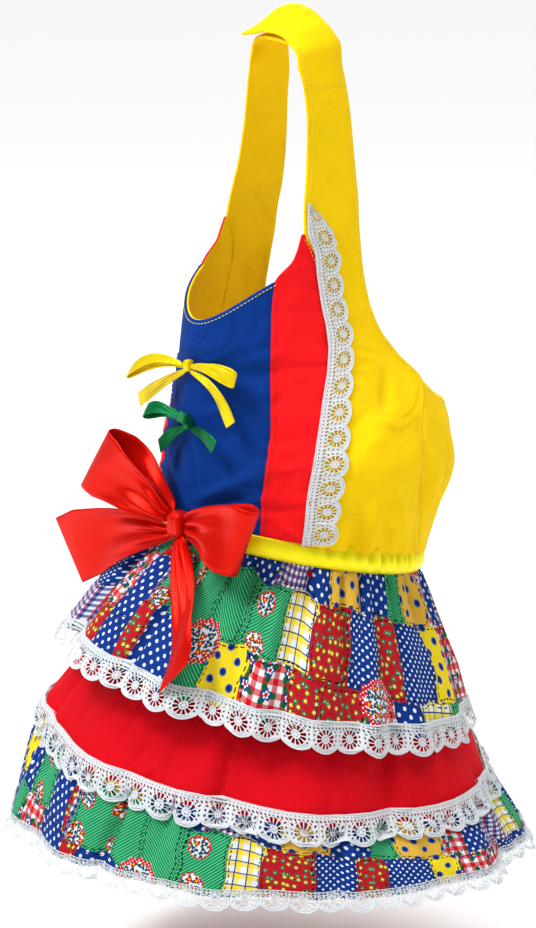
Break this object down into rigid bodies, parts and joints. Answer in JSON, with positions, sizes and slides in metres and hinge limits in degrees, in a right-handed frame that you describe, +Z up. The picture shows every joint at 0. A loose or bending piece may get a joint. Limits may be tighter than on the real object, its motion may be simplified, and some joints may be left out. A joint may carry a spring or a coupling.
{
  "type": "dog dress",
  "caption": "Halter dress for a small dog: panelled bodice with neck straps, waistband, tiered gathered skirt edged with lace, and ribbon bows in front.",
  "frame": {"origin": "at the top of the neck loop, just inside the place where the two straps lap, where the dress hangs from a peg", "axes": "+Z up, the front with the bows faces -Y, +X is the wearer's left"},
  "size_m": [0.2959, 0.2964, 0.4683],
  "materials": {
    "blue_cotton": "plain woven royal blue cotton",
    "red_cotton": "plain woven bright red cotton",
    "yellow_cotton": "plain woven golden yellow cotton",
    "lemon_satin": "lemon yellow satin band",
    "patchwork_cotton": "printed cotton with a multicoloured patchwork of dots, checks, stripes and small flowers; the colour given is its average",
    "crimson_cotton": "plain woven crimson cotton",
    "white_lace": "white scalloped cotton lace, see-through",
    "red_satin": "red satin ribbon",
    "yellow_satin": "yellow satin ribbon",
    "green_satin": "green satin ribbon"
  },
  "bodies": {
    "root": {"bodice_center": "blue_cotton", "bodice_red_left": "red_cotton", "bodice_red_right": "red_cotton", "front_lining": "yellow_cotton", "bodice_yellow_left": "yellow_cotton", "bodice_yellow_right": "yellow_cotton", "bodice_back": "yellow_cotton", "lace_bodice_left": "white_lace", "lace_bodice_right": "white_lace", "waistband": "lemon_satin", "overskirt": "patchwork_cotton", "skirt_base": "crimson_cotton", "hem_ruffle": "patchwork_cotton", "lace_overskirt": "white_lace", "lace_base": "white_lace", "lace_hem": "white_lace", "red_bow_knot": "red_satin", "red_bow_loop_left": "red_satin", "red_bow_loop_right": "red_satin", "red_bow_tail_left": "red_satin", "red_bow_tail_right": "red_satin", "yellow_bow_knot": "yellow_satin", "yellow_bow_loop_left": "yellow_satin", "yellow_bow_loop_right": "yellow_satin", "yellow_bow_tail_left": "yellow_satin", "yellow_bow_tail_right": "yellow_satin", "green_bow_knot": "green_satin", "green_bow_loop_left": "green_satin", "green_bow_loop_right": "green_satin", "green_bow_tail_left": "green_satin", "green_bow_tail_right": "green_satin"}
  },
  "joints": []
}
